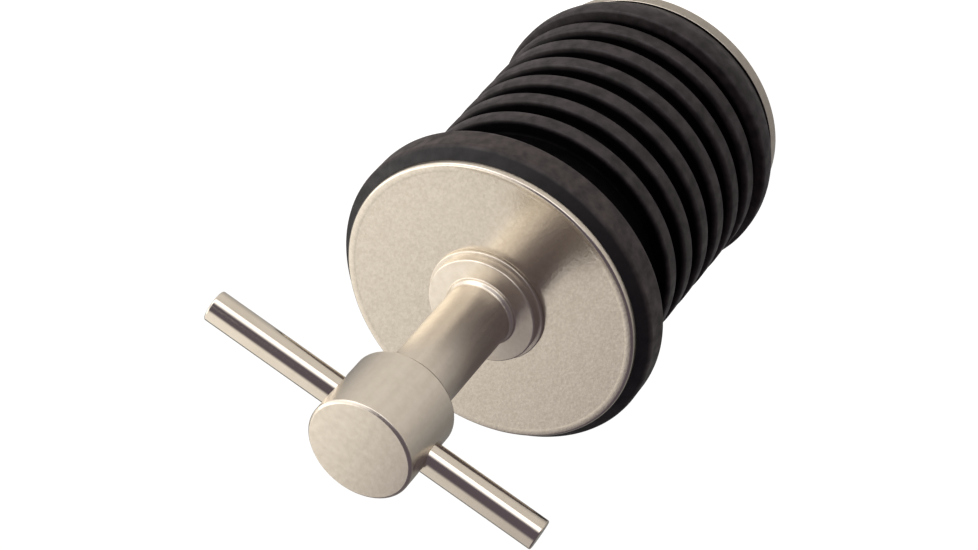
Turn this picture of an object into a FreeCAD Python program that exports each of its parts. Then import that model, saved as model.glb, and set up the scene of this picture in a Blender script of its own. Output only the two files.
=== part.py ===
"""Expanding drain plug with a T-handle, for a 1-1/4 inch drain tube.

A ribbed rubber sleeve is squeezed between two stainless plates. The spindle
runs down the axis and screws into a nut on the rear plate, so turning its
T-handle clockwise draws the rear plate up and makes the ribs swell.

The plug stands on its rear plate. Z is the plug's axis, with the handle at
the top and z = 0 on the rear plate's outer face. All sizes are in mm.
"""
import FreeCAD, Part

import math
import os

# Rear plate, the disc at the bottom of the plug
rear_plate_radius = 14.2
rear_plate_thickness = 1.5
rear_plate_chamfer = 0.3

# Rubber sleeve, from its rear band up to its flange
band_radius = 15.5
band_length = 4.8
band_lead_in = 1.5
band_lead_in_length = 2.8
band_edge_chamfer = 0.25
band_groove_width = 1.475
rib_count = 6
rib_width = 1.8
groove_width = 1.92
first_rib_radius = 14.6
last_rib_radius = 14.95
groove_depth = 1.6
neck_radius = 13.0
neck_length = 4.275
flange_radius = 16.9
flange_rim_width = 2.85
flange_underside_rise = 2.0
flange_face_rise = 0.9
flange_chamfer = 0.3
flange_face_width = 1.2

# Front plate, set into the face of the flange
plate_thickness = 1.3
plate_stand_out = 0.75
plate_chamfer = 0.35
recess_clearance = 0.02

# Spindle: a threaded tail, a collar, a shank and a head, turned from one bar
tail_radius = 3.175
tail_end_chamfer = 0.5
tail_end_inset = 0.4
collar_radius = 5.8
collar_height = 0.95
collar_edge_chamfer = 0.15
foot_radius = 3.75
foot_height = 0.65
shank_radius = 3.45
shank_length = 15.15
shoulder_radius = 4.3
shoulder_height = 1.05
shoulder_chamfer = 0.4
head_radius = 5.45
head_length = 8.75
head_face_chamfer = 0.25
head_back_chamfer = 0.45

# Cross bar, pressed through the middle of the head
bar_radius = 1.6
bar_length = 37.0
bar_offset = 0.75
bar_end_chamfer = 0.25

# Thrust washer under the collar
washer_radius = 6.2
washer_thickness = 0.4
washer_chamfer = 0.1

# Nut welded to the inner face of the rear plate
nut_across_flats = 11.1
nut_height = 5.5
nut_corner_chamfer = 0.6

# Clearances between the pieces
running_clearance = 0.05
hole_clearance = 0.3
sleeve_bore_clearance = 0.5
pocket_clearance = 0.35

# Heights along the axis, worked out from the sizes above
sleeve_bottom = rear_plate_thickness
band_top = sleeve_bottom + band_length
rib_pitch = rib_width + groove_width
last_rib_bottom = band_top + band_groove_width
first_rib_top = last_rib_bottom + rib_count * rib_pitch - groove_width
flange_bottom = first_rib_top + neck_length + flange_underside_rise
flange_rim_top = flange_bottom + flange_rim_width
flange_top = flange_rim_top + flange_face_rise
plate_top = flange_top + plate_stand_out
plate_bottom = plate_top - plate_thickness
plate_radius = flange_radius - flange_face_width
washer_top = plate_top + washer_thickness
collar_top = washer_top + collar_height
head_bottom = collar_top + shank_length
head_top = head_bottom + head_length
bar_height = (head_bottom + head_top) / 2
nut_bottom = rear_plate_thickness
nut_corner_radius = nut_across_flats / math.sqrt(3)
nut_bore_radius = tail_radius + running_clearance


def outline_wire(corners):
    """A closed outline through (radius, height, chamfer) corners, in the XZ plane."""
    points = [FreeCAD.Vector(x, 0, z) for x, z, _ in corners]
    outline = []
    for i, (_, _, chamfer) in enumerate(corners):
        before, corner, after = points[i - 1], points[i], points[(i + 1) % len(points)]
        if chamfer > 0:
            outline.append(corner + (before - corner).normalize() * chamfer)
            outline.append(corner + (after - corner).normalize() * chamfer)
        else:
            outline.append(corner)
    return Part.makePolygon(outline + outline[:1])


def turned(corners):
    """The solid that an outline sweeps in one full turn about the plug's axis."""
    face = Part.Face(outline_wire(corners))
    return face.revolve(FreeCAD.Vector(0, 0, 0), FreeCAD.Vector(0, 0, 1), 360)


def round_hole(radius, bottom, top):
    """A cutter for a hole on the axis."""
    return Part.makeCylinder(radius, top - bottom, FreeCAD.Vector(0, 0, bottom))


def hexagon_prism(across_flats, bottom, top):
    """A hexagonal bar on the axis, with two corners on X."""
    corner = across_flats / math.sqrt(3)
    points = []
    for i in range(7):
        angle = math.radians(60 * i)
        points.append(FreeCAD.Vector(corner * math.cos(angle), corner * math.sin(angle), bottom))
    face = Part.Face(Part.makePolygon(points))
    return face.extrude(FreeCAD.Vector(0, 0, top - bottom))


def rib_radius(height):
    """The ribs grow evenly from the one under the flange to the one by the band."""
    share = (first_rib_top - height) / (first_rib_top - last_rib_bottom)
    return first_rib_radius + share * (last_rib_radius - first_rib_radius)


def make_rubber_sleeve():
    """One moulding: band, ribs, neck and flange, with its bore, nut pocket and plate recess."""
    bore = tail_radius + sleeve_bore_clearance
    corners = [
        (bore, sleeve_bottom, 0),
        (band_radius - band_lead_in, sleeve_bottom, 0),
        (band_radius, sleeve_bottom + band_lead_in_length, 0),
        (band_radius, band_top, band_edge_chamfer),
    ]
    groove_bottom = band_top
    for i in range(rib_count):
        rib_bottom = last_rib_bottom + i * rib_pitch
        rib_top = rib_bottom + rib_width
        crest = rib_radius((rib_bottom + rib_top) / 2)
        root = crest - groove_depth
        corners += [
            (root, groove_bottom, 0),
            (root, rib_bottom, 0),
            (crest, rib_bottom, 0),
            (crest, rib_top, 0),
        ]
        groove_bottom = rib_top
    recess_radius = plate_radius + recess_clearance
    corners += [
        (neck_radius, first_rib_top, 0),
        (neck_radius, first_rib_top + neck_length, 0),
        (flange_radius, flange_bottom, flange_chamfer),
        (flange_radius, flange_rim_top, flange_chamfer),
        (recess_radius, flange_top, 0),
        (recess_radius, plate_bottom, 0),
        (bore, plate_bottom, 0),
    ]
    sleeve = turned(corners)
    pocket = hexagon_prism(
        nut_across_flats + 2 * pocket_clearance,
        sleeve_bottom,
        nut_bottom + nut_height + pocket_clearance,
    )
    return sleeve.cut(pocket)


def make_front_plate():
    """A flat disc with a rounded front edge, which turns freely on the spindle."""
    hole = tail_radius + running_clearance
    return turned([
        (hole, plate_bottom, 0),
        (plate_radius, plate_bottom, 0),
        (plate_radius, plate_top, plate_chamfer),
        (hole, plate_top, 0),
    ])


def make_rear_plate():
    """The disc that the nut is welded to, with its outer edge rounded."""
    hole = tail_radius + hole_clearance
    return turned([
        (hole, 0, 0),
        (rear_plate_radius, 0, rear_plate_chamfer),
        (rear_plate_radius, rear_plate_thickness, 0),
        (hole, rear_plate_thickness, 0),
    ])


def make_rear_nut():
    """A plain hexagon nut with its upper corners chamfered, and a running fit on the tail."""
    nut_top = nut_bottom + nut_height
    nut = hexagon_prism(nut_across_flats, nut_bottom, nut_top)
    crown = turned([
        (0, nut_bottom, 0),
        (nut_corner_radius + nut_corner_chamfer, nut_bottom, 0),
        (nut_corner_radius + nut_corner_chamfer, nut_top - 2 * nut_corner_chamfer, 0),
        (nut_across_flats / 2, nut_top, 0),
        (0, nut_top, 0),
    ])
    return nut.common(crown).cut(round_hole(nut_bore_radius, nut_bottom, nut_top))


def make_thrust_washer():
    """A thin ring that keeps the turning collar off the front plate."""
    hole = tail_radius + running_clearance
    return turned([
        (hole, plate_top, 0),
        (washer_radius, plate_top, 0),
        (washer_radius, washer_top, washer_chamfer),
        (hole, washer_top, 0),
    ])


def make_spindle():
    """The turned spindle, cross drilled through its head for the bar."""
    shoulder_bottom = head_bottom - shoulder_height
    spindle = turned([
        (0, tail_end_inset, 0),
        (tail_radius - tail_end_chamfer, tail_end_inset, 0),
        (tail_radius, tail_end_inset + tail_end_chamfer, 0),
        (tail_radius, washer_top, 0),
        (collar_radius, washer_top, 0),
        (collar_radius, collar_top - collar_edge_chamfer, 0),
        (collar_radius - collar_edge_chamfer, collar_top, 0),
        (foot_radius, collar_top, 0),
        (foot_radius, collar_top + foot_height / 2, 0),
        (shank_radius, collar_top + foot_height, 0),
        (shank_radius, shoulder_bottom, 0),
        (shoulder_radius, shoulder_bottom + shoulder_chamfer, 0),
        (shoulder_radius, head_bottom, 0),
        (head_radius - head_back_chamfer, head_bottom, 0),
        (head_radius, head_bottom + head_back_chamfer, 0),
        (head_radius, head_top - head_face_chamfer, 0),
        (head_radius - head_face_chamfer, head_top, 0),
        (0, head_top, 0),
    ])
    cross_hole = Part.makeCylinder(
        bar_radius,
        4 * head_radius,
        FreeCAD.Vector(-2 * head_radius, 0, bar_height),
        FreeCAD.Vector(1, 0, 0),
    )
    return spindle.cut(cross_hole)


def make_cross_bar():
    """The bar of the T, with a small chamfer on each flat end."""
    bar = Part.makeCylinder(
        bar_radius,
        bar_length,
        FreeCAD.Vector(bar_offset - bar_length / 2, 0, bar_height),
        FreeCAD.Vector(1, 0, 0),
    )
    end_edges = [edge for edge in bar.Edges if isinstance(edge.Curve, Part.Circle)]
    return bar.makeChamfer(bar_end_chamfer, end_edges)


pieces = {
    "rubber_sleeve": make_rubber_sleeve(),
    "front_plate": make_front_plate(),
    "rear_plate": make_rear_plate(),
    "rear_nut": make_rear_nut(),
    "thrust_washer": make_thrust_washer(),
    "spindle": make_spindle(),
    "cross_bar": make_cross_bar(),
}

os.makedirs("parts", exist_ok=True)
for name, shape in pieces.items():
    shape.exportStep("parts/" + name + ".step")
    size = shape.BoundBox
    print(name, len(shape.Solids), "solid", shape.isValid(), round(shape.Volume, 1),
          "z", round(size.ZMin, 3), round(size.ZMax, 3))
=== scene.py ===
"""The looks of an expanding drain plug: a ribbed rubber sleeve between two stainless
plates, drawn together by a T-handled spindle. It stands on its rear plate, with the
handle up, and every size here is in metres.
"""
import math

import bmesh
import bpy
from mathutils import Matrix, Vector


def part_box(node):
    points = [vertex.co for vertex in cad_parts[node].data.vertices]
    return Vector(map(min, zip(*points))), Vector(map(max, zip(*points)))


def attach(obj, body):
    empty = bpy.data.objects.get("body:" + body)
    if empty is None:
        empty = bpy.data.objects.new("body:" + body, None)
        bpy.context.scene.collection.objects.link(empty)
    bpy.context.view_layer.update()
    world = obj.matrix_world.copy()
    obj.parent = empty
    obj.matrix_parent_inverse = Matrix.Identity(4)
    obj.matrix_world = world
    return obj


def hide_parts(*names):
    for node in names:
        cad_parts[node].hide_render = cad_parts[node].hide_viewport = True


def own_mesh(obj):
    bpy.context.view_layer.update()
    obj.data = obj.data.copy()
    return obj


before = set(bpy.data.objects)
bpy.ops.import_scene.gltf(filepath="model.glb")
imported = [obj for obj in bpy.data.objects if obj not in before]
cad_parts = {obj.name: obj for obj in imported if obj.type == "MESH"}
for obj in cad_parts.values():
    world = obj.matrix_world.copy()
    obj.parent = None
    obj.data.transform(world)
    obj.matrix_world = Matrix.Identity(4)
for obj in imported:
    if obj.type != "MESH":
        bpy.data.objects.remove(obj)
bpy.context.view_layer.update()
mm = 0.001

# The camera. The photographed plug lay on its side with its handle towards the lens,
# so here the camera looks down on the standing plug and is rolled nearly upside down.
camera_aim = Vector((1.2, -3.36, 38.95)) * mm
camera_azimuth = math.radians(-9.3)
camera_elevation = math.radians(45.82)
camera_distance = 262.7 * mm
camera_roll = math.radians(138.48)
camera_data = bpy.data.cameras.new("camera")
camera_data.lens = 100.0
camera_data.sensor_width = 36.0
camera_data.clip_start = 0.01
camera_data.clip_end = 10.0
camera = bpy.data.objects.new("camera", camera_data)
bpy.context.scene.collection.objects.link(camera)
bpy.context.scene.camera = camera
towards_camera = Vector((
    math.sin(camera_azimuth) * math.cos(camera_elevation),
    -math.cos(camera_azimuth) * math.cos(camera_elevation),
    math.sin(camera_elevation),
))
level_view = (-towards_camera).to_track_quat("-Z", "Y").to_matrix().to_4x4()
camera.matrix_world = (
    Matrix.Translation(camera_aim + towards_camera * camera_distance)
    @ level_view
    @ Matrix.Rotation(-camera_roll, 4, "Z")
)

# The floor, a large white sheet under the plug. It glows fully where the lens sees it, so
# that it stays white behind the plug, and faintly for all other rays, a glow that lights the
# plug. Its colour is painted darker away from the lens, painted shade that the steel mirrors.
floor_half = 1.5
floor_drop = 0.02 * mm
# The sheet's colour runs from painted shade far from the lens to near white on the lens side.
sheet_painted_shade_colour = (0.06, 0.055, 0.05, 1.0)
sheet_near_colour = (0.82, 0.8, 0.75, 1.0)
sheet_lens_side = (0.25, -0.97, 0.0)
sheet_fade_start = -40.0 * mm
sheet_fade_end = 50.0 * mm
mirrored_glow = 0.22
floor_mesh = bmesh.new()
bmesh.ops.create_grid(
    floor_mesh,
    x_segments=1,
    y_segments=1,
    size=floor_half,
    matrix=Matrix.Translation((0.0, 0.0, -floor_drop)),
)
floor_data = bpy.data.meshes.new("floor")
floor_mesh.to_mesh(floor_data)
floor_mesh.free()
floor = bpy.data.objects.new("floor", floor_data)
bpy.context.scene.collection.objects.link(floor)
white_sheet = bpy.data.materials.new("white_sheet")
white_sheet.use_nodes = True
sheet_nodes = white_sheet.node_tree.nodes
sheet_links = white_sheet.node_tree.links
sheet_shader = sheet_nodes["Principled BSDF"]
sheet_place = sheet_nodes.new("ShaderNodeTexCoord")
sheet_side = sheet_nodes.new("ShaderNodeVectorMath")
sheet_side.operation = "DOT_PRODUCT"
sheet_side.inputs[1].default_value = sheet_lens_side
sheet_links.new(sheet_place.outputs["Object"], sheet_side.inputs[0])
sheet_reach = sheet_nodes.new("ShaderNodeMapRange")
sheet_reach.inputs["From Min"].default_value = sheet_fade_start
sheet_reach.inputs["From Max"].default_value = sheet_fade_end
sheet_links.new(sheet_side.outputs["Value"], sheet_reach.inputs["Value"])
# Painted shade: the sheet's base colour darkens away from the lens side.
sheet_painted_shade = sheet_nodes.new("ShaderNodeValToRGB")
sheet_painted_shade.color_ramp.elements[0].color = sheet_painted_shade_colour
sheet_painted_shade.color_ramp.elements[1].color = sheet_near_colour
sheet_links.new(sheet_reach.outputs["Result"], sheet_painted_shade.inputs["Fac"])
sheet_links.new(sheet_painted_shade.outputs["Color"], sheet_shader.inputs["Base Color"])
sheet_shader.inputs["Roughness"].default_value = 0.9
sheet_shader.inputs["Specular IOR Level"].default_value = 0.0
sheet_glow = sheet_nodes.new("ShaderNodeEmission")
sheet_glow.inputs["Color"].default_value = (1.0, 1.0, 1.0, 1.0)
sheet_seen = sheet_nodes.new("ShaderNodeLightPath")
sheet_strength = sheet_nodes.new("ShaderNodeMapRange")
sheet_strength.inputs["To Min"].default_value = mirrored_glow
sheet_links.new(sheet_seen.outputs["Is Camera Ray"], sheet_strength.inputs["Value"])
sheet_links.new(sheet_strength.outputs["Result"], sheet_glow.inputs["Strength"])
sheet_sum = sheet_nodes.new("ShaderNodeAddShader")
sheet_links.new(sheet_shader.outputs["BSDF"], sheet_sum.inputs[0])
sheet_links.new(sheet_glow.outputs["Emission"], sheet_sum.inputs[1])
sheet_links.new(sheet_sum.outputs["Shader"], sheet_nodes["Material Output"].inputs["Surface"])
floor_data.materials.append(white_sheet)

# The light. A soft lamp stands to the left of the lens. The room is dark, but for a
# wall behind the plug, brighter on the lamp's side, and a window low behind the lens.
lamp_place = Vector((0.36, -0.04, 0.24))
lamp_aim = Vector((0.0, 0.0, 0.035))
lamp_data = bpy.data.lights.new("key_lamp", "AREA")
lamp_data.shape = "SQUARE"
lamp_data.size = 0.7
lamp_data.energy = 1.65
lamp_data.color = (1.0, 0.98, 0.96)
lamp = bpy.data.objects.new("key_lamp", lamp_data)
lamp.location = lamp_place
lamp.rotation_mode = "QUATERNION"
lamp.rotation_quaternion = (lamp_aim - lamp_place).to_track_quat("-Z", "Y")
bpy.context.scene.collection.objects.link(lamp)
dark_colour = (0.13, 0.11, 0.14, 1.0)
wall_direction = (0.35, 0.8, 0.49)
wall_edge = (0.45, 0.75)
wall_lamp_side = (-0.15, 0.27)
wall_colour = (1.3, 1.25, 1.18, 1.0)
window_direction = (0.45, -0.89, 0.0)
window_edge = (0.4, 0.85)
window_top = (0.62, 0.3)
window_colour = (1.95, 1.92, 1.98, 1.0)
world = bpy.data.worlds.new("studio")
bpy.context.scene.world = world
world.use_nodes = True
room_nodes = world.node_tree.nodes
room_links = world.node_tree.links
room_background = room_nodes["Background"]
room_place = room_nodes.new("ShaderNodeTexCoord").outputs["Generated"]
room_axes = room_nodes.new("ShaderNodeSeparateXYZ")
room_links.new(room_place, room_axes.inputs["Vector"])


def room_facing(direction, low, high):
    """How far a look into the room lies along a direction, as 0 at low and 1 at high."""
    facing = room_nodes.new("ShaderNodeVectorMath")
    facing.operation = "DOT_PRODUCT"
    facing.inputs[1].default_value = Vector(direction).normalized()
    room_links.new(room_place, facing.inputs[0])
    return room_step(facing.outputs["Value"], low, high)


def room_step(value, low, high):
    """A smooth step of a value, which is 0 at low and 1 at high."""
    step = room_nodes.new("ShaderNodeMapRange")
    step.interpolation_type = "SMOOTHSTEP"
    step.inputs["From Min"].default_value = low
    step.inputs["From Max"].default_value = high
    room_links.new(value, step.inputs["Value"])
    return step.outputs["Result"]


def room_layer(under, first, second, colour):
    """Lays a colour over what is under it, by the product of two steps."""
    both = room_nodes.new("ShaderNodeMath")
    both.operation = "MULTIPLY"
    room_links.new(first, both.inputs[0])
    room_links.new(second, both.inputs[1])
    layer = room_nodes.new("ShaderNodeMixRGB")
    layer.inputs["Color2"].default_value = colour
    room_links.new(both.outputs["Value"], layer.inputs["Fac"])
    room_links.new(under, layer.inputs["Color1"])
    return layer.outputs["Color"]


room_dark = room_nodes.new("ShaderNodeRGB")
room_dark.outputs["Color"].default_value = dark_colour
room_wall = room_layer(
    room_dark.outputs["Color"],
    room_facing(wall_direction, *wall_edge),
    room_step(room_axes.outputs["X"], *wall_lamp_side),
    wall_colour,
)
room_window = room_layer(
    room_wall,
    room_facing(window_direction, *window_edge),
    room_step(room_axes.outputs["Z"], *window_top),
    window_colour,
)
room_links.new(room_window, room_background.inputs["Color"])
bpy.context.scene.view_settings.view_transform = "Standard"

# The rubber sleeve, one black moulding. It has a flange that stays outside the drain,
# a neck, six ribs and a wide rear band, and a hole down its axis for the spindle.
sleeve_low, sleeve_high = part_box("rubber_sleeve")
plate_low, plate_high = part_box("front_plate")
flange_radius = sleeve_high.y
flange_top = sleeve_high.z
band_bottom = sleeve_low.z
band_radius = 15.5 * mm
band_length = 4.8 * mm
band_top = band_bottom + band_length
band_lead_in = 1.5 * mm
band_lead_in_length = 2.8 * mm
band_end_rounding = 0.45 * mm
band_shoulder_rounding = 0.9 * mm
band_groove_width = 1.475 * mm
rib_count = 6
rib_width = 1.8 * mm
groove_width = 1.92 * mm
first_rib_radius = 14.6 * mm
last_rib_radius = 14.95 * mm
groove_depth = 1.6 * mm
rib_rounding = 0.32 * mm
groove_rounding = 0.3 * mm
neck_radius = 13.0 * mm
neck_length = 4.275 * mm
neck_rounding = 1.0 * mm
flange_face_rise = 0.9 * mm
flange_rim_top = flange_top - flange_face_rise
flange_rim_width = 2.85 * mm
flange_bottom = flange_rim_top - flange_rim_width
flange_rounding = 0.35 * mm
recess_clearance = 0.02 * mm
recess_radius = plate_high.x + recess_clearance
sleeve_bore = 3.675 * mm
# The rubber's colour follows the radius. The grooves and neck are near black with their sheen
# turned nearly off, which is painted shade. The rib crests and rear band carry brown dust,
# and the flange's front face is darker again.
dust_and_shade_start = 12.9 * mm
dust_and_shade_end = 17.0 * mm
groove_sheen = 0.02
crest_sheen = 0.32
least_worn = 0.6
most_worn = 1.5
dull_rubber = 0.6
smooth_rubber = 0.42
dust_and_shade_stops = (
    (0.0, (0.0018, 0.0015, 0.0018)),
    (0.30, (0.0022, 0.0018, 0.0022)),
    (0.40, (0.025, 0.019, 0.0195)),
    (0.62, (0.028, 0.0215, 0.022)),
    (0.70, (0.008, 0.0065, 0.007)),
    (0.90, (0.008, 0.0065, 0.007)),
    (0.97, (0.034, 0.0255, 0.0245)),
)
mottle_scale = 800.0
pore_scale = 2600.0
pore_relief = 0.25
round_steps = 256
corner_segments = 4
weld_distance = 1e-7
bump_distance = 0.1 * mm


def half_section(corners):
    """A bmesh holding the closed half section of a turned piece, its corners rounded."""
    mesh = bmesh.new()
    vertices = [mesh.verts.new((x, 0.0, z)) for x, z, _ in corners]
    mesh.faces.new(vertices)
    by_size = {}
    for vertex, (_, _, rounding) in zip(vertices, corners):
        if rounding > 0:
            by_size.setdefault(rounding, []).append(vertex)
    for rounding, group in by_size.items():
        bmesh.ops.bevel(
            mesh,
            geom=group,
            offset=rounding,
            offset_type="OFFSET",
            affect="VERTICES",
            segments=corner_segments,
            profile=0.5,
            material=-1,
        )
    bmesh.ops.delete(mesh, geom=mesh.faces[:], context="FACES_ONLY")
    return mesh


def spin_round(mesh, steps=round_steps):
    """Spins a half section about the plug's axis into a closed solid of revolution."""
    bmesh.ops.spin(
        mesh,
        geom=mesh.verts[:] + mesh.edges[:],
        cent=(0.0, 0.0, 0.0),
        axis=(0.0, 0.0, 1.0),
        angle=math.tau,
        steps=steps,
        use_merge=True,
    )
    bmesh.ops.remove_doubles(mesh, verts=mesh.verts[:], dist=weld_distance)
    bmesh.ops.recalc_face_normals(mesh, faces=mesh.faces[:])


def finished_piece(name, mesh, body, material, sharp_degrees=35.0):
    """Makes the piece's object from its bmesh, smooth apart from its sharp edges."""
    data = bpy.data.meshes.new(name)
    mesh.to_mesh(data)
    mesh.free()
    for polygon in data.polygons:
        polygon.use_smooth = True
    data.set_sharp_from_angle(angle=math.radians(sharp_degrees))
    data.materials.append(material)
    piece = bpy.data.objects.new(name, data)
    bpy.context.scene.collection.objects.link(piece)
    evened = piece.modifiers.new("even_shading", "WEIGHTED_NORMAL")
    evened.keep_sharp = True
    evened.weight = 100
    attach(piece, body)
    return piece


def new_finish(name):
    """A new material, with its node tree's nodes and links and its Principled shader."""
    material = bpy.data.materials.new(name)
    material.use_nodes = True
    tree = material.node_tree
    return material, tree.nodes, tree.links, tree.nodes["Principled BSDF"]


def add_noise(nodes, links, vector, scale, detail):
    """A noise texture of that scale on the given coordinates."""
    noise = nodes.new("ShaderNodeTexNoise")
    noise.inputs["Scale"].default_value = scale
    noise.inputs["Detail"].default_value = detail
    links.new(vector, noise.inputs["Vector"])
    return noise.outputs["Fac"]


def add_range(nodes, links, value, low, high, to_low, to_high):
    """Maps the value from low..high to to_low..to_high, and holds it at the ends."""
    mapped = nodes.new("ShaderNodeMapRange")
    mapped.inputs["From Min"].default_value = low
    mapped.inputs["From Max"].default_value = high
    mapped.inputs["To Min"].default_value = to_low
    mapped.inputs["To Max"].default_value = to_high
    links.new(value, mapped.inputs["Value"])
    return mapped.outputs["Result"]


def add_bump(nodes, links, height, strength):
    """A bump node of that strength, fed by a height."""
    bump = nodes.new("ShaderNodeBump")
    bump.inputs["Strength"].default_value = strength
    bump.inputs["Distance"].default_value = bump_distance
    links.new(height, bump.inputs["Height"])
    return bump


def black_rubber():
    """Moulded black rubber. Its crests are brown and dusty; its grooves are painted near
    black, with little sheen, as painted shade.
    """
    material, nodes, links, shader = new_finish("black_rubber")
    place = nodes.new("ShaderNodeTexCoord").outputs["Object"]
    across = nodes.new("ShaderNodeVectorMath")
    across.operation = "MULTIPLY"
    across.inputs[1].default_value = (1.0, 1.0, 0.0)
    links.new(place, across.inputs[0])
    radius = nodes.new("ShaderNodeVectorMath")
    radius.operation = "LENGTH"
    links.new(across.outputs["Vector"], radius.inputs[0])
    reach = add_range(nodes, links, radius.outputs["Value"], dust_and_shade_start, dust_and_shade_end, 0.0, 1.0)
    # Painted shade: the grooves get almost no sheen and a near-black colour, while the crests
    # get dust and sheen.
    sheen = add_range(nodes, links, reach, 0.28, 0.42, groove_sheen, crest_sheen)
    shader.inputs["Specular IOR Level"].default_value = crest_sheen
    links.new(sheen, shader.inputs["Specular IOR Level"])
    dust_and_shade = nodes.new("ShaderNodeValToRGB")
    ramp = dust_and_shade.color_ramp
    ramp.elements[1].position = dust_and_shade_stops[-1][0]
    ramp.elements[0].color = (*dust_and_shade_stops[0][1], 1.0)
    ramp.elements[1].color = (*dust_and_shade_stops[-1][1], 1.0)
    for position, colour in dust_and_shade_stops[1:-1]:
        ramp.elements.new(position).color = (*colour, 1.0)
    links.new(reach, dust_and_shade.inputs["Fac"])
    mottle = add_noise(nodes, links, place, mottle_scale, 6.0)
    worn = add_range(nodes, links, mottle, 0.35, 0.65, least_worn, most_worn)
    tint = nodes.new("ShaderNodeVectorMath")
    tint.operation = "SCALE"
    links.new(dust_and_shade.outputs["Color"], tint.inputs[0])
    links.new(worn, tint.inputs["Scale"])
    links.new(tint.outputs["Vector"], shader.inputs["Base Color"])
    dull = add_range(nodes, links, mottle, 0.3, 0.7, dull_rubber, smooth_rubber)
    links.new(dull, shader.inputs["Roughness"])
    pores = add_noise(nodes, links, place, pore_scale, 3.0)
    bump = add_bump(nodes, links, pores, pore_relief)
    links.new(bump.outputs["Normal"], shader.inputs["Normal"])
    return material


rib_pitch = rib_width + groove_width
last_rib_bottom = band_top + band_groove_width
first_rib_top = last_rib_bottom + rib_count * rib_pitch - groove_width
sleeve_corners = [
    (sleeve_bore, band_bottom, 0.0),
    (band_radius - band_lead_in, band_bottom, band_end_rounding),
    (band_radius, band_bottom + band_lead_in_length, band_shoulder_rounding),
    (band_radius, band_top, rib_rounding),
]
groove_bottom = band_top
for rib in range(rib_count):
    rib_bottom = last_rib_bottom + rib * rib_pitch
    rib_top = rib_bottom + rib_width
    share = (first_rib_top - (rib_bottom + rib_top) / 2) / (first_rib_top - last_rib_bottom)
    crest = first_rib_radius + share * (last_rib_radius - first_rib_radius)
    root = crest - groove_depth
    sleeve_corners += [
        (root, groove_bottom, groove_rounding),
        (root, rib_bottom, groove_rounding),
        (crest, rib_bottom, rib_rounding),
        (crest, rib_top, rib_rounding),
    ]
    groove_bottom = rib_top
sleeve_corners += [
    (neck_radius, first_rib_top, groove_rounding),
    (neck_radius, first_rib_top + neck_length, neck_rounding),
    (flange_radius, flange_bottom, flange_rounding),
    (flange_radius, flange_rim_top, flange_rounding),
    (recess_radius, flange_top, 0.0),
    (recess_radius, plate_low.z, 0.0),
    (sleeve_bore, plate_low.z, 0.0),
]
sleeve_mesh = half_section(sleeve_corners)
spin_round(sleeve_mesh)
sleeve = finished_piece("rubber_moulding", sleeve_mesh, "plug", black_rubber())
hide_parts("rubber_sleeve")
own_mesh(sleeve)

# The two plates, flat discs punched from satin stainless sheet. Their edges are rolled
# over, and a faint line runs round the front one where its rounded edge begins.
rear_low, rear_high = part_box("rear_plate")
plate_rounding = 0.3 * mm
plate_line_inset = 0.95 * mm
plate_line_width = 0.1 * mm
plate_line_depth = 0.008 * mm
plate_bore = 3.225 * mm
rear_bore = 3.475 * mm
rear_rounding = 0.3 * mm
rear_bore_rounding = 0.1 * mm
rear_inner_rounding = 0.08 * mm
dark_steel = (0.64, 0.58, 0.49)
light_steel = (0.70, 0.64, 0.55)
grain_scale = 3200.0


def stainless(name, roughness, shade, cloud_scale, streak_scale, streak_relief, grain_relief):
    """Stainless steel with cloudy patches, a fine grain and streaks along one way."""
    material, nodes, links, shader = new_finish(name)
    shader.inputs["Metallic"].default_value = 1.0
    place = nodes.new("ShaderNodeTexCoord").outputs["Object"]
    clouds = add_noise(nodes, links, place, cloud_scale, 5.0)
    stretch = nodes.new("ShaderNodeMapping")
    stretch.inputs["Scale"].default_value = streak_scale
    links.new(place, stretch.inputs["Vector"])
    streaks = add_noise(nodes, links, stretch.outputs["Vector"], 1.0, 4.0)
    blend = nodes.new("ShaderNodeMath")
    links.new(clouds, blend.inputs[0])
    links.new(streaks, blend.inputs[1])
    patches = add_range(nodes, links, blend.outputs["Value"], 0.75, 1.25, 0.0, 1.0)
    tint = nodes.new("ShaderNodeValToRGB")
    for element, colour in zip(tint.color_ramp.elements, (dark_steel, light_steel)):
        element.color = (*(channel * shade for channel in colour), 1.0)
    links.new(patches, tint.inputs["Fac"])
    links.new(tint.outputs["Color"], shader.inputs["Base Color"])
    dull = add_range(nodes, links, patches, 0.0, 1.0, roughness * 1.1, roughness * 0.9)
    links.new(dull, shader.inputs["Roughness"])
    grain = add_noise(nodes, links, place, grain_scale, 2.0)
    grain_bump = add_bump(nodes, links, grain, grain_relief)
    streak_bump = add_bump(nodes, links, streaks, streak_relief)
    links.new(grain_bump.outputs["Normal"], streak_bump.inputs["Normal"])
    links.new(streak_bump.outputs["Normal"], shader.inputs["Normal"])
    return material


sheet_steel = stainless(
    "satin_sheet_steel",
    roughness=0.2,
    shade=0.98,
    cloud_scale=1300.0,
    streak_scale=(2600.0, 2600.0, 2600.0),
    streak_relief=0.04,
    grain_relief=0.08,
)
line_centre = plate_high.x - plate_line_inset
front_mesh = half_section([
    (plate_bore, plate_low.z, 0.0),
    (plate_high.x, plate_low.z, 0.0),
    (plate_high.x, plate_high.z, plate_rounding),
    (line_centre + plate_line_width, plate_high.z, 0.0),
    (line_centre, plate_high.z - plate_line_depth, 0.0),
    (line_centre - plate_line_width, plate_high.z, 0.0),
    (plate_bore, plate_high.z, 0.0),
])
spin_round(front_mesh)
front_disc = finished_piece("front_disc", front_mesh, "plug", sheet_steel)
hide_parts("front_plate")
rear_mesh = half_section([
    (rear_bore, rear_low.z, rear_bore_rounding),
    (rear_high.x, rear_low.z, rear_rounding),
    (rear_high.x, rear_high.z, rear_inner_rounding),
    (rear_bore, rear_high.z, 0.0),
])
spin_round(rear_mesh)
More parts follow.
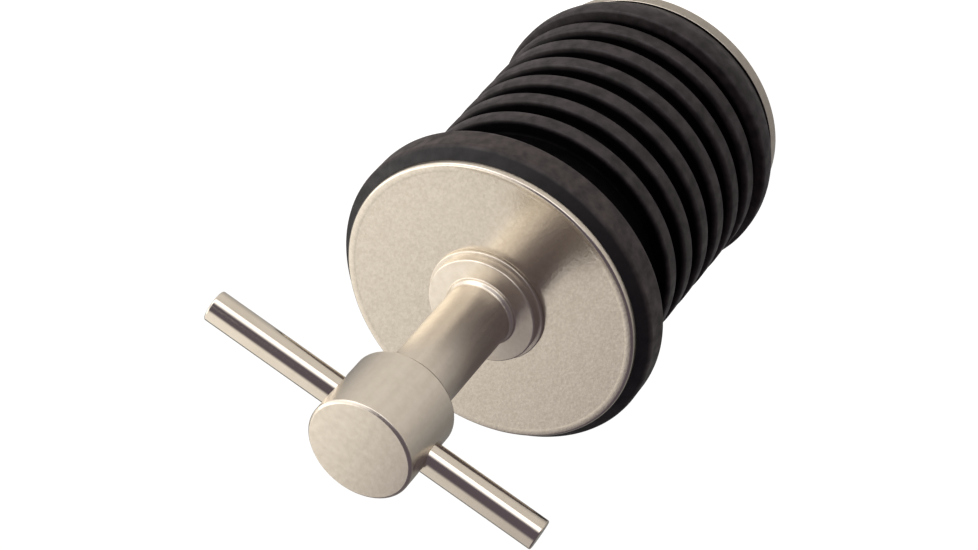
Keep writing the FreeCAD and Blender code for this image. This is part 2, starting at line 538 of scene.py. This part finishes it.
rear_disc = finished_piece("rear_disc", rear_mesh, "rear_clamp", sheet_steel)
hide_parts("rear_plate")
rear_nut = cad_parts["rear_nut"]
rear_nut.data.materials.clear()
rear_nut.data.materials.append(sheet_steel)

# The spindle, turned from stainless bar: a plain round head, a shank, a foot that
# spreads into a collar, and a tail. The bar's hole through the head is countersunk.
spindle_low, spindle_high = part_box("spindle")
washer_low, washer_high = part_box("thrust_washer")
bar_low, bar_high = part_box("cross_bar")
bar_height = (bar_low.z + bar_high.z) / 2
bar_radius = bar_high.y
tail_radius = 3.175 * mm
thread_top = 14.0 * mm
collar_radius = 5.8 * mm
collar_height = 0.95 * mm
collar_top = washer_high.z + collar_height
collar_rounding = 0.15 * mm
foot_radius = 3.75 * mm
foot_height = 0.65 * mm
shank_radius = 3.45 * mm
head_radius = 5.45 * mm
head_length = 8.75 * mm
head_bottom = spindle_high.z - head_length
shoulder_radius = 4.3 * mm
shoulder_height = 1.05 * mm
shoulder_cut = 0.4 * mm
head_face_cut = 0.25 * mm
head_back_cut = 0.45 * mm
countersink_start = 5.02 * mm
countersink_end = 6.5 * mm
turned_rounding = 0.1 * mm
shank_foot_rounding = 0.15 * mm
head_face_rounding = 0.08 * mm
drill_steps = 96
turned_steel = stainless(
    "turned_stainless",
    roughness=0.32,
    shade=1.04,
    cloud_scale=1400.0,
    streak_scale=(1500.0, 1500.0, 45.0),
    streak_relief=0.07,
    grain_relief=0.06,
)
shoulder_bottom = head_bottom - shoulder_height
spindle_mesh = half_section([
    (0.0, thread_top, 0.0),
    (tail_radius, thread_top, 0.0),
    (tail_radius, washer_high.z, 0.0),
    (collar_radius, washer_high.z, 0.0),
    (collar_radius, collar_top, collar_rounding),
    (foot_radius, collar_top, turned_rounding),
    (foot_radius, collar_top + foot_height / 2, turned_rounding),
    (shank_radius, collar_top + foot_height, shank_foot_rounding),
    (shank_radius, shoulder_bottom, turned_rounding),
    (shoulder_radius, shoulder_bottom + shoulder_cut, turned_rounding),
    (shoulder_radius, head_bottom, turned_rounding),
    (head_radius - head_back_cut, head_bottom, turned_rounding),
    (head_radius, head_bottom + head_back_cut, turned_rounding),
    (head_radius, spindle_high.z - head_face_cut, head_face_rounding),
    (head_radius - head_face_cut, spindle_high.z, head_face_rounding),
    (0.0, spindle_high.z, 0.0),
])
spin_round(spindle_mesh)
flare = bar_radius + countersink_end - countersink_start
drill_mesh = half_section([
    (0.0, -countersink_end, 0.0),
    (flare, -countersink_end, 0.0),
    (bar_radius, -countersink_start, 0.0),
    (bar_radius, countersink_start, 0.0),
    (flare, countersink_end, 0.0),
    (0.0, countersink_end, 0.0),
])
spin_round(drill_mesh, steps=drill_steps)
lay_along_x = Matrix.Rotation(math.pi / 2, 4, "Y")
bar_centre = Matrix.Translation((0.0, 0.0, bar_height))
bmesh.ops.transform(drill_mesh, matrix=bar_centre @ lay_along_x, verts=drill_mesh.verts[:])
drill_data = bpy.data.meshes.new("drill")
drill_mesh.to_mesh(drill_data)
drill_mesh.free()
drill = bpy.data.objects.new("drill", drill_data)
blank_data = bpy.data.meshes.new("blank")
spindle_mesh.to_mesh(blank_data)
blank = bpy.data.objects.new("blank", blank_data)
bpy.context.scene.collection.objects.link(drill)
bpy.context.scene.collection.objects.link(blank)
cross_hole = blank.modifiers.new("cross_hole", "BOOLEAN")
cross_hole.operation = "DIFFERENCE"
cross_hole.solver = "EXACT"
cross_hole.object = drill
drilled = blank.evaluated_get(bpy.context.evaluated_depsgraph_get()).to_mesh()
spindle_mesh.clear()
spindle_mesh.from_mesh(drilled)
bpy.data.objects.remove(blank)
bpy.data.objects.remove(drill)
turned_spindle = finished_piece(
    "turned_spindle", spindle_mesh, "handle", turned_steel
)
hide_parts("spindle")

# The thread on the spindle's tail, cut twenty turns to the inch. Each turn of the
# helix meets the next, and the ends are cut off flat.
thread_pitch = 1.27 * mm
thread_depth = 0.7 * mm
thread_turns = 12
thread_steps = 64
thread_weld_distance = 1e-6
thread_sharp_degrees = 50.0
thread_mesh = bmesh.new()
thread_points = []
for turn in range(-1, thread_turns + 1):
    turn_base = spindle_low.z + turn * thread_pitch
    thread_points.append((tail_radius, turn_base))
    thread_points.append((tail_radius - thread_depth, turn_base + thread_pitch / 2))
thread_points.append((tail_radius, spindle_low.z + (thread_turns + 1) * thread_pitch))
thread_line = [thread_mesh.verts.new((x, 0.0, z)) for x, z in thread_points]
for lower, upper in zip(thread_line, thread_line[1:]):
    thread_mesh.edges.new((lower, upper))
bmesh.ops.spin(
    thread_mesh,
    geom=thread_mesh.verts[:] + thread_mesh.edges[:],
    cent=(0.0, 0.0, 0.0),
    axis=(0.0, 0.0, 1.0),
    dvec=(0.0, 0.0, thread_pitch / thread_steps),
    angle=math.tau,
    steps=thread_steps,
)
bmesh.ops.remove_doubles(thread_mesh, verts=thread_mesh.verts[:], dist=thread_weld_distance)
for height, clear_below in ((spindle_low.z, True), (thread_top, False)):
    cut = bmesh.ops.bisect_plane(
        thread_mesh,
        geom=thread_mesh.verts[:] + thread_mesh.edges[:] + thread_mesh.faces[:],
        plane_co=(0.0, 0.0, height),
        plane_no=(0.0, 0.0, 1.0),
        clear_inner=clear_below,
        clear_outer=not clear_below,
    )
    rim = [item for item in cut["geom_cut"] if isinstance(item, bmesh.types.BMEdge)]
    bmesh.ops.edgeloop_fill(thread_mesh, edges=rim)
bmesh.ops.recalc_face_normals(thread_mesh, faces=thread_mesh.faces[:])
finished_piece(
    "tail_thread", thread_mesh, "handle", turned_steel, thread_sharp_degrees
)

# The thrust washer, a thin stainless ring between the collar and the front plate. It
# turns with the handle, a hair clear of the plate.
washer_gap = 0.01 * mm
washer_under_rounding = 0.05 * mm
washer_rounding = 0.1 * mm
washer_mesh = half_section([
    (plate_bore, washer_low.z + washer_gap, 0.0),
    (washer_high.x, washer_low.z + washer_gap, washer_under_rounding),
    (washer_high.x, washer_high.z, washer_rounding),
    (plate_bore, washer_high.z, 0.0),
])
spin_round(washer_mesh)
washer_ring = finished_piece("washer_ring", washer_mesh, "handle", turned_steel)
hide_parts("thrust_washer")

# The cross bar, a drawn and polished stainless rod with flat ends, pressed through
# the head so that it stands out a little further on one side.
bar_end_rounding = 0.18 * mm
bar_steps = 128
polished_steel = stainless(
    "polished_rod",
    roughness=0.12,
    shade=1.03,
    cloud_scale=500.0,
    streak_scale=(30.0, 1500.0, 1500.0),
    streak_relief=0.02,
    grain_relief=0.015,
)
bar_mesh = half_section([
    (0.0, bar_low.x, 0.0),
    (bar_radius, bar_low.x, bar_end_rounding),
    (bar_radius, bar_high.x, bar_end_rounding),
    (0.0, bar_high.x, 0.0),
])
spin_round(bar_mesh, steps=bar_steps)
bmesh.ops.transform(bar_mesh, matrix=bar_centre @ lay_along_x, verts=bar_mesh.verts[:])
handle_rod = finished_piece("handle_rod", bar_mesh, "handle", polished_steel)
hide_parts("cross_bar")
